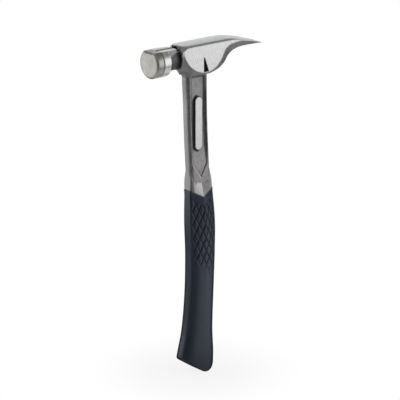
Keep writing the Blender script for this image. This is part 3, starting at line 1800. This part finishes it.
@dataclass
class StrikingFace:
    """Replaceable steel face with a flat on top, a bevelled rim and a stud behind it."""

    axis: float = 353.6
    front: float = -62.5
    back: float = -53.0
    radius: float = 15.99
    bevel: float = 1.7
    crown: float = 0.35
    flat_rise: float = 12.9
    flat_round: float = 0.5
    side_x: float = -58.0
    joint_bevel: float = 0.75
    back_radius: float = 12.0
    stud_radius: float = 8.0
    stud_core: float = 3.0
    stud_end: float = -44.0
    stud_bevel: float = 0.6
    stud_flat: float = 1.0
    stud_flat_from: float = -51.5
    rim_turn: Span = (0.2, 0.7)
    mask_slack: float = 0.25
    joint_slack: float = 0.1
    columns: int = 160
    finish: FaceSteel = field(default_factory=FaceSteel)

    def profile(self) -> Array:
        """Rows of X and radius from the face's middle to the stud's end.

        Returns:
            The rows, which lie a few tenths of a millimetre apart where they round an edge.
        """
        inner = self.radius - self.bevel
        face_r = np.array([0.15, 0.35, 0.55, 0.75, 0.9, 0.97]) * inner
        face = np.stack([self.front + self.crown * (face_r / inner) ** 2, face_r], axis=1)
        edge_x = self.front + self.crown
        corners = [
            (edge_x + 0.05, inner - 0.12),
            (edge_x + 0.16, inner + 0.10),
            (self.front + self.bevel - 0.15, self.radius - 0.26),
            (self.front + self.bevel + 0.05, self.radius - 0.08),
            (self.front + self.bevel + 0.3, self.radius),
            (self.side_x, self.radius),
            (self.back - self.joint_bevel - 0.15, self.radius),
            (self.back - self.joint_bevel, self.radius - 0.03),
            (self.back - 0.02, self.radius - self.joint_bevel),
            (self.back, self.radius - self.joint_bevel - 0.1),
            (self.back, self.back_radius),
            (self.back, self.stud_radius + 0.3),
            (self.back + 0.1, self.stud_radius),
            (self.stud_flat_from - 0.1, self.stud_radius),
            (self.stud_flat_from + 0.1, self.stud_radius),
            (self.stud_end - self.stud_bevel, self.stud_radius),
            (self.stud_end - 0.1, self.stud_radius - self.stud_bevel),
            (self.stud_end, self.stud_radius - self.stud_bevel - 0.2),
            (self.stud_end, self.stud_core),
        ]
        return np.concatenate([face, np.array(corners)])

    def build(self) -> bpy.types.Object:
        """Builds and dresses the face.

        Formula: the profile turned round the striking axis, where each radius is the lesser of the profile's
        and the distance to the flat on top, or to the stud's flat below, with a rounded edge.

        Returns:
            The piece.
        """
        profile = self.profile()
        angle = full_turn(self.columns)[None, :]
        x = profile[:, :1]
        turned = profile[:, 1:]
        bevel_end = self.front + self.bevel + self.mask_slack
        inset = np.clip(self.radius - turned, 0.0, self.bevel) * (x < bevel_end)
        least = 0.001
        up = np.maximum(np.sin(angle), least)
        flat = (self.flat_rise - inset) / up
        down = np.maximum(-np.sin(angle), least)
        flatted = x > self.stud_flat_from
        stud_flat = np.where(flatted, (self.stud_radius - self.stud_flat) / down, np.inf)
        cap = x <= self.back
        radius = np.where(cap, blend_min(turned, flat, self.flat_round), np.minimum(turned, stud_flat))
        rows = np.stack(
            np.broadcast_arrays(x, radius * np.cos(angle), self.axis + radius * np.sin(angle)), axis=-1
        )
        first = np.array([self.front, 0.0, self.axis])
        last = np.array([self.stud_end, 0.0, self.axis])
        skin = Skin.around("striking_face_steel", rows, first, last)
        shown = np.broadcast_to(x, radius.shape)
        inner = self.radius - self.bevel
        face_end = self.front + self.crown + self.mask_slack
        joint_start = self.back - self.joint_bevel - self.joint_slack
        front = np.where((shown < face_end) & (turned < inner + self.mask_slack), 1.0, 0.0)
        rim = np.where((shown < bevel_end) & (turned > inner - self.mask_slack), 1.0, 0.0)
        rim = rim * fade(-np.cos(angle), *self.rim_turn)
        joint = np.where((shown > joint_start) & cap, 1.0, 0.0)
        poles = {"front": (1.0, 0.0), "rim": (0.0, 0.0), "joint": (0.0, 0.0)}
        for name, values in (("front", front), ("rim", rim), ("joint", joint)):
            skin.paint(name, np.append(values.ravel(), poles[name]))
        return skin.mount(Body.FACE, Slot.FACE, "striking_face", self.finish.material())


@dataclass
class FaceScrew:
    """Set screw under the ring, with a cut thread and a hexagon socket."""

    x: float = -48.0
    bottom: float = 338.6
    top: float = 346.55
    radius: float = 3.0
    thread_depth: float = 0.3
    thread_span: Span = (0.25, 0.9)
    bright_span: Span = (0.0, 0.5)
    pitch: float = 1.0
    bevel: float = 0.5
    end_width: float = 0.4
    hexagon: float = 3.0
    socket: float = 3.4
    rows: int = 60
    columns: int = 72
    finish: ScrewSteel = field(default_factory=ScrewSteel)

    def build(self) -> bpy.types.Object:
        """Builds and dresses the screw.

        Formula: a cylinder whose radius falls by a triangle wave of height and turn, which makes the thread;
        the socket's radius is half the hexagon's size over the cosine of the angle from its nearest flat.

        Returns:
            The piece.
        """
        angle = full_turn(self.columns)[None, :]
        sixth = np.pi / 3.0
        from_flat = np.mod(angle + sixth / 2, sixth) - sixth / 2
        socket_r = self.hexagon / 2 / np.cos(from_flat)
        # Depth in the socket and share of the socket's radius, from its floor to its chamfered mouth
        inner = np.array([[self.socket, 0.92], [self.socket, 1.0], [0.25, 1.0], [0.0, 1.06]])
        socket_z = np.broadcast_to(self.bottom + inner[:, :1], (len(inner), self.columns))
        socket_rows = inner[:, 1:] * socket_r
        z = np.linspace(self.bottom + self.bevel, self.top - self.bevel, self.rows)[:, None]
        turn = (z - self.bottom) / self.pitch + angle / (2.0 * np.pi)
        wave = np.abs(2.0 * (turn - np.floor(turn)) - 1.0)
        thread = self.radius - self.thread_depth * fade(wave, *self.thread_span)
        thread_z = np.broadcast_to(z, thread.shape)
        end_r = self.radius - self.bevel
        ends = np.broadcast_to([[end_r], [end_r - self.end_width]], (2, self.columns))
        radius = np.concatenate([socket_rows, ends[::-1], thread, ends])
        low = np.full((2, self.columns), self.bottom)
        high = np.full((2, self.columns), self.top)
        height = np.concatenate([socket_z, low, thread_z, high])
        rows = np.stack([self.x + radius * np.cos(angle), radius * np.sin(angle), height], axis=-1)
        first = np.array([self.x, 0.0, self.bottom + self.socket])
        last = np.array([self.x, 0.0, self.top])
        skin = Skin.around("face_set_screw", rows, first, last)
        crest = 1.0 - fade(wave, *self.bright_span)
        edge = np.concatenate([np.zeros_like(socket_rows), np.ones_like(low), crest, np.zeros_like(high)])
        skin.paint("edge", np.append(edge.ravel(), (0.0, 0.0)))
        return skin.mount(Body.SCREW, Slot.SCREW, "face_screw", self.finish.material())


@dataclass
class NailMagnet:
    """Round magnet set into the deck, with the nail groove ground across its top."""

    x: float = -34.7
    bottom: float = 361.0
    top: float = 366.3
    groove_z: float = 367.4
    groove_radius: float = 2.4
    radius: float = 3.0
    bevel: float = 0.3
    foot_width: float = 1.0
    rings: int = 12
    columns: int = 64
    finish: MagnetPlate = field(default_factory=MagnetPlate)

    def build(self) -> bpy.types.Object:
        """Builds and dresses the magnet.

        Formula: a profile of height and radius turned round its own axis, whose height is kept under the
        groove's circle about a line along X.

        Returns:
            The piece.
        """
        low = [[self.bottom, self.radius - self.foot_width], [self.bottom, self.radius - self.bevel]]
        wall = [[self.bottom + self.bevel, self.radius], [self.top - self.bevel, self.radius]]
        rim = [[self.top - self.bevel / 3, self.radius - self.bevel / 3]]
        shares = np.linspace(1.0, 0.1, self.rings)
        top = [[self.top, share * (self.radius - self.bevel)] for share in shares]
        profile = np.array(low + wall + rim + top)
        turn = full_turn(self.columns)[None, :]
        z, radius, angle = np.broadcast_arrays(profile[:, :1], profile[:, 1:], turn)
        y = radius * np.sin(angle)
        groove = self.groove_z - np.sqrt(np.maximum(self.groove_radius**2 - y**2, 0.0))
        rows = np.stack([self.x + radius * np.cos(angle), y, np.minimum(z, groove)], axis=-1)
        first = np.array([self.x, 0.0, self.bottom])
        last = np.array([self.x, 0.0, self.groove_z - self.groove_radius])
        skin = Skin.around("nail_holder_magnet", rows, first, last)
        return skin.mount(Body.HAMMER, Slot.MAGNET, "nail_magnet", self.finish.material())


@dataclass
class RubberGrip:
    """Moulded rubber grip: diamond pads on its broad sides, a V at its top and a slanted butt."""

    form: HandleForm = field(default_factory=HandleForm)
    butt_slope: float = 34.0
    heel_radius: float = 12.5
    heel_top: float = 36.0
    heel_round: float = 1.0
    flat_end: float = 0.97
    butt_x: float = -1.0
    butt_round: float = 2.4
    lip_round: float = 0.7
    bore_top: float = 186.0
    bore_end: float = 24.0
    bore_power: float = 6.0
    diamonds: int = 4
    diamond_height: float = 15.4
    cross_s: float = 7.45
    cross_z: float = 168.0
    groove_half: float = 0.95
    groove_floor: float = 0.1
    groove_depth: float = 0.7
    groove_lean: float = 0.45
    pillow: float = 0.16
    band: float = 9.2
    knurl_rise: float = 0.58
    knurl_bottom: float = 121.0
    knurl_slant: float = 0.78
    knurl_side: float = 0.7
    knurl_top: Span = (0.0, 0.8)
    knurl_end: Span = (-13.0, 7.0)
    plain_rows: int = 66
    knurl_rows: int = 206
    round_rows: int = 9
    butt_rows: int = 16
    lip_rows: int = 6
    columns: int = 248
    finish: GripRubber = field(default_factory=GripRubber)

    def butt_level(self, x: Array) -> Array:
        """Height of the butt at x: a slanted plane, then the round heel.

        Args:
            x: Places along X.

        Returns:
            The height at each.
        """
        slope = math.radians(self.butt_slope)
        heel_x = self.flat_end + self.heel_radius * math.sin(slope)
        heel_z = -self.flat_end * math.tan(slope) + self.heel_radius * math.cos(slope)
        out = np.clip(x - heel_x, -self.heel_radius, self.heel_radius)
        heel = heel_z - np.sqrt(np.maximum(self.heel_radius**2 - out**2, 0.0))
        return np.where(x < self.flat_end, -x * math.tan(slope), heel)

    def wall(self, angle: Array, z: Array) -> Array:
        """Points of the plain outer wall.

        Args:
            angle: Angle from +X.
            z: Heights.

        Returns:
            X, Y and Z along the last axis.
        """
        reach = self.form.reach(angle, z)
        x = self.form.line.middle(z) + reach * np.cos(angle)
        slope = math.radians(self.butt_slope)
        heel_end = self.flat_end + self.heel_radius * (1.0 + math.sin(slope))
        limit = heel_end + np.clip(z - self.heel_top, 0.0, None)
        x = blend_min(x, limit, self.heel_round)
        return np.stack(np.broadcast_arrays(x, reach * np.sin(angle), z), axis=-1)

    def axis_point(self, z: Array) -> Array:
        """Points of the handle's middle line at the given heights."""
        return np.stack([self.form.line.middle(z), np.zeros_like(z), z], axis=-1)

    def low_end(self, angle: Array) -> Array:
        """Height at which the wall meets the butt, by halving the span that holds it.

        Args:
            angle: Angle from +X.

        Returns:
            The height at each.
        """
        lowest = -20.0
        highest = 60.0
        halvings = 40
        low = np.full_like(angle, lowest)
        high = np.full_like(angle, highest)
        for _ in range(halvings):
            z = (low + high) / 2
            above = z > self.butt_level(self.wall(angle, z)[..., 0])
            high = np.where(above, z, high)
            low = np.where(above, low, z)
        return (low + high) / 2

    def high_end(self, angle: Array) -> Array:
        """Height at which the wall meets the V, by repeated substitution.

        Args:
            angle: Angle from +X.

        Returns:
            The height at each.
        """
        rounds = 12
        z = np.full_like(angle, self.form.v_height)
        for _ in range(rounds):
            z = self.form.v_level(self.wall(angle, z)[..., 0])
        return z

    def knurl(self, points: Array) -> tuple[Array, Array, Array]:
        """Depth of the diamond grooves on the wall.

        Formula: two families of slanted lines in arc length from the front and in height, with a whole number
        of diamonds across each side; the depth falls with the distance from the nearest line, each pad is
        slightly crowned, and all fades out towards the plain parts.

        Args:
            points: Wall points as rows, columns and X, Y, Z, with the columns starting at the front.

        Returns:
            Depth in millimetres, the groove's share and the pad's share at each point.
        """
        step = np.linalg.norm(np.roll(points, -1, axis=1) - points, axis=-1)
        run = np.cumsum(step, axis=1) - step
        total = step.sum(1, keepdims=True)
        s = np.minimum(run, total - run)
        x, z = points[..., 0], points[..., 2]
        off = x - self.form.line.middle(z)
        width = (total / 2 - 2.0 * self.cross_s) / self.diamonds
        across = (s - self.cross_s) / width
        up = (z - self.cross_z) / self.diamond_height
        pitch = 1.0 / np.hypot(1.0 / width, 1.0 / self.diamond_height)
        one = np.abs(across + up - np.round(across + up)) * pitch
        two = np.abs(across - up - np.round(across - up)) * pitch
        near = np.minimum(one, two)
        top = self.form.v_height - self.band + np.abs(off) * self.knurl_rise
        bottom = self.knurl_bottom - self.knurl_slant * off
        side_span = (self.cross_s - self.knurl_side, self.cross_s)
        sides = fade(s, *side_span) * fade(total / 2 - s, *side_span)
        mask = sides * fade(top - z, *self.knurl_top) * fade(z - bottom, *self.knurl_end)
        groove = fade(near, self.groove_half, self.groove_floor) * mask
        crown = ease(np.clip(1.0 - 2.0 * near / pitch, 0.0, 1.0)) * mask
        return self.groove_depth * groove + self.pillow * crown, groove, mask * (1.0 - groove)

    def build(self) -> bpy.types.Object:
        """Builds and dresses the grip.

        Formula: rows of points from the butt's middle out over its rounded edge, up the outer wall, over the
        lip and down the bore that holds the tang.

        Returns:
            The piece.
        """
        turn = np.pi + full_turn(self.columns)[None, :]
        half_x = 17.0
        half_y = 11.5
        angle = np.arctan2(half_y * np.sin(turn), half_x * np.cos(turn))
        low = self.low_end(angle)
        high = self.high_end(angle)
        start = low + self.butt_round
        stop = high - self.lip_round
        plain = np.linspace(0.0, 0.5, self.plain_rows)[:-1]
        share = np.concatenate([plain, np.linspace(0.5, 1.0, self.knurl_rows)])[:, None]
        wall = self.wall(angle, start + (stop - start) * share)
        depth, groove, pad = self.knurl(wall)
        inward = self.axis_point(wall[..., 2]) - wall
        inward[..., 0] *= self.groove_lean
        wall = wall + inward / np.linalg.norm(inward, axis=-1, keepdims=True) * depth[..., None]
        butt_middle = np.array([self.butt_x, 0.0])
        edge = self.wall(angle, low)
        flat = edge[..., :2] - butt_middle
        length = np.linalg.norm(flat, axis=-1, keepdims=True)
        inner_edge = butt_middle + flat * (1.0 - self.butt_round / length)
        inner_edge = np.concatenate([inner_edge, self.butt_level(inner_edge[..., :1])], axis=-1)
        t = np.linspace(0.0, 1.0, self.round_rows)[:-1, None, None]
        round_rows = turn_over(inner_edge, edge, self.wall(angle, start), t)
        spread = np.linspace(0.08, 1.0, self.butt_rows)[:-1, None, None]
        butt_flat = butt_middle + (inner_edge[..., :2] - butt_middle) * spread
        butt_rows = np.concatenate([butt_flat, self.butt_level(butt_flat[..., :1])], axis=-1)
        top_edge = self.wall(angle, high)
        toward = self.axis_point(high) - top_edge
        toward = toward / np.linalg.norm(toward, axis=-1, keepdims=True)
        lip_in = top_edge + toward * self.lip_round
        t = np.linspace(0.0, 1.0, self.lip_rows)[1:, None, None]
        lip_rows = turn_over(wall[-1:], top_edge, lip_in, t)
        bore_z = np.concatenate([high, np.full_like(high, self.bore_top), np.full_like(high, self.bore_end)])
        bore = self.bore(angle, bore_z)
        rows = np.concatenate([butt_rows, round_rows, wall, lip_rows, bore])
        first = np.array([self.butt_x, 0.0, float(self.butt_level(np.asarray(self.butt_x)))])
        last = self.axis_point(np.asarray(self.bore_end))
        skin = Skin.around("rubber_grip", rows, first, last)
        before = len(butt_rows) + len(round_rows)
        after = len(rows) - before - len(wall)
        for name, values in (("groove", groove), ("pad", pad)):
            whole = np.pad(values, ((before, after), (0, 0)))
            skin.paint(name, np.append(whole.ravel(), (0.0, 0.0)))
        return skin.mount(Body.HAMMER, Slot.RUBBER, "grip", self.finish.material())

    def bore(self, angle: Array, z: Array) -> Array:
        """Points of the bore round the tang: a superellipse of the core's sizes.

        Args:
            angle: Angle from +X.
            z: Heights.

        Returns:
            X, Y and Z along the last axis.
        """
        half_x = self.form.core.at(z, 1) / 2
        half_y = self.form.core.at(z, 2) / 2
        p = self.bore_power
        radius = (np.abs(np.cos(angle) / half_x) ** p + np.abs(np.sin(angle) / half_y) ** p) ** (-1.0 / p)
        x = self.form.line.middle(z) + radius * np.cos(angle)
        return np.stack([x, radius * np.sin(angle), z], axis=-1)


# Studio


def outward(azimuth: float, elevation: float) -> Vector:
    """Direction from the hammer towards an azimuth and elevation in degrees; azimuth 0 is the near side.

    Args:
        azimuth, elevation: Angles in degrees.

    Returns:
        The direction, 1 long.
    """
    a = math.radians(azimuth)
    e = math.radians(elevation)
    return Vector((math.sin(a) * math.cos(e), -math.cos(a) * math.cos(e), math.sin(e)))


def aim(data: bpy.types.ID, place: Vector, back: Vector) -> bpy.types.Object:
    """Puts a lamp or a camera at a place, with its back turned to the given direction.

    Args:
        data: The lamp or camera.
        place: Its place in metres.
        back: Direction that its back is turned to.

    Returns:
        The object that holds it.
    """
    holder = bpy.data.objects.new(data.name, data)
    holder.location = place
    holder.rotation_mode = "QUATERNION"
    holder.rotation_quaternion = (-back).to_track_quat("-Z", "Y")
    bpy.context.scene.collection.objects.link(holder)
    return holder


@dataclass(frozen=True)
class SoftBox:
    """One oblong studio lamp that faces the hammer; lengths in metres, power in watts."""

    name: str
    azimuth: float
    elevation: float
    distance: float
    width: float
    height: float
    power: float

    def place(self, target: Vector) -> None:
        """Adds the lamp to the scene."""
        lamp = bpy.data.lights.new(self.name, "AREA")
        lamp.shape = "RECTANGLE"
        lamp.size = self.width
        lamp.size_y = self.height
        lamp.energy = self.power
        back = outward(self.azimuth, self.elevation)
        aim(lamp, target + back * self.distance, back)


@dataclass(frozen=True)
class Studio:
    """Pale floor, soft light and the photograph's camera."""

    target: tuple[float, float, float] = (7.0, 0.0, 192.0)
    azimuth: float = -39.5
    elevation: float = 17.4
    distance: float = 2500.0
    focal_pixels: float = 2319.0
    image_pixels: float = 400.0
    sensor: float = 36.0
    clip_end: float = 100.0
    floor_z: float = -2.85
    floor_radius: float = 0.6
    floor_corners: int = 96
    ambient: float = 0.34
    room_shade: float = 0.15
    ceiling: float = 0.14
    ceiling_span: Span = (0.1, 0.6)
    band_foot: Span = (-0.16, 0.06)
    band_top: Span = (0.66, 0.38)
    band_turn: Span = (-0.05, 0.35)
    floor_colour: Colour = (0.93, 0.93, 0.93)
    floor_glow: float = 0.86
    floor_azimuth: float = 80.0
    floor_mirror: float = 0.9
    floor_turn: Span = (-0.05, 0.2)
    shadow_span: Span = (0.02, 0.13)
    lamps: tuple[SoftBox, ...] = (
        SoftBox("left_softbox", -140.0, -5.0, 1.3, 0.6, 1.2, 5.0),
        SoftBox("right_softbox", 40.0, 10.0, 1.3, 1.3, 1.1, 6.8),
        SoftBox("back_softbox", 172.0, 14.0, 1.5, 1.2, 1.0, 3.6),
    )

    def camera(self) -> None:
        """Puts the camera where the photograph was taken from."""
        lens = bpy.data.cameras.new("photo_camera")
        lens.sensor_width = self.sensor
        lens.lens = self.focal_pixels * self.sensor / self.image_pixels
        lens.clip_end = self.clip_end
        back = outward(self.azimuth, self.elevation)
        place = (Vector(self.target) + back * self.distance) * MM
        bpy.context.scene.camera = aim(lens, place, back)

    def seen_rays(self, shader: Shader, white: Socket) -> Socket:
        """How white a ray finds the studio.

        Args:
            shader: Shader under construction.
            white: How white the place is in a mirror.

        Returns:
            1 for camera rays, the given value for glossy and transmission rays, 0 for other light.
        """
        path = shader.node("ShaderNodeLightPath", {}, {})
        mirrored = shader.most(shader.out(path, "Is Glossy Ray"), shader.out(path, "Is Transmission Ray"))
        return shader.most(shader.out(path, "Is Camera Ray"), mirrored * white)

    def world(self) -> None:
        """White backdrop where it is seen, a bright band behind the hammer in mirrors, a plain level else."""
        scene_world = bpy.data.worlds.new("studio_world")
        bpy.context.scene.world = scene_world
        s = Shader(scene_world)
        direction = s.out(s.node("ShaderNodeTexCoord", {}, {}), "Generated")
        path = s.node("ShaderNodeLightPath", {}, {})
        diffuse = s.out(path, "Is Diffuse Ray")
        behind = tuple(outward(self.azimuth + 180.0, 0.0))
        along = s.node("ShaderNodeVectorMath", {"operation": "DOT_PRODUCT"}, {0: direction, 1: behind})
        height = s.out(s.node("ShaderNodeSeparateXYZ", {}, {"Vector": direction}), "Z")
        band = s.spread(height, *self.band_foot) * s.spread(height, *self.band_top)
        ceiling = s.spread(height, *self.ceiling_span) * self.ceiling
        white = s.most(s.spread(s.out(along, "Value"), *self.band_turn) * band, ceiling)
        seen = self.seen_rays(s, white)
        shade = self.room_shade
        strength = seen * (1.0 - shade) + shade + diffuse * (self.ambient - shade)
        light = s.node("ShaderNodeBackground", {}, {"Color": (1.0, 1.0, 1.0, 1.0), "Strength": strength})
        s.node("ShaderNodeOutputWorld", {}, {"Surface": s.out(light)})

    def floor(self) -> None:
        """Pale round floor under the butt that glows white where it is seen and keeps some of the shadow."""
        count = self.floor_corners
        turn = full_turn(count)
        ring = np.stack([np.cos(turn) * self.floor_radius, np.sin(turn) * self.floor_radius], axis=1)
        points = np.concatenate([ring, np.full((count, 1), self.floor_z * MM)], axis=1)
        mesh = bpy.data.meshes.new("studio_floor")
        mesh.from_pydata(points.tolist(), [], [list(range(count))])
        made = bpy.data.materials.new("studio_floor")
        s = Shader(made)
        place = s.place()
        plain = s.node("ShaderNodeBsdfDiffuse", {}, {"Color": (*self.floor_colour, 1.0)})
        glow = s.node("ShaderNodeEmission", {}, {"Color": (1.0, 1.0, 1.0, 1.0), "Strength": 1.0})
        off = s.out(s.node("ShaderNodeVectorMath", {"operation": "LENGTH"}, {0: place}), "Value")
        bright = tuple(outward(self.floor_azimuth, 0.0))
        along = s.node("ShaderNodeVectorMath", {"operation": "DOT_PRODUCT"}, {0: place, 1: bright})
        white = s.spread(s.out(along, "Value"), *self.floor_turn) * self.floor_mirror
        share = self.seen_rays(s, white) * s.spread(off, *self.shadow_span, self.floor_glow, 1.0)
        both = s.node("ShaderNodeMixShader", {}, {0: share, 1: s.out(plain), 2: s.out(glow)})
        s.node("ShaderNodeOutputMaterial", {}, {"Surface": s.out(both)})
        mesh.materials.append(made)
        floor = bpy.data.objects.new("studio_floor", mesh)
        bpy.context.scene.collection.objects.link(floor)

    def build(self) -> None:
        """Sets up the whole studio."""
        self.camera()
        self.world()
        self.floor()
        for lamp in self.lamps:
            lamp.place(Vector(self.target) * MM)
        bpy.context.scene.view_settings.view_transform = "Standard"


def main() -> None:
    """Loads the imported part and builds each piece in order."""
    logging.basicConfig(level=logging.INFO, format="%(message)s")
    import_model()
    Studio().build()
    for maker in (CastBody(), StrikingFace(), FaceScrew(), NailMagnet(), RubberGrip()):
        piece = maker.build()
        LOG.info("built %s", piece.name)
    bpy.context.view_layer.update()


if __name__ == "__main__":
    main()
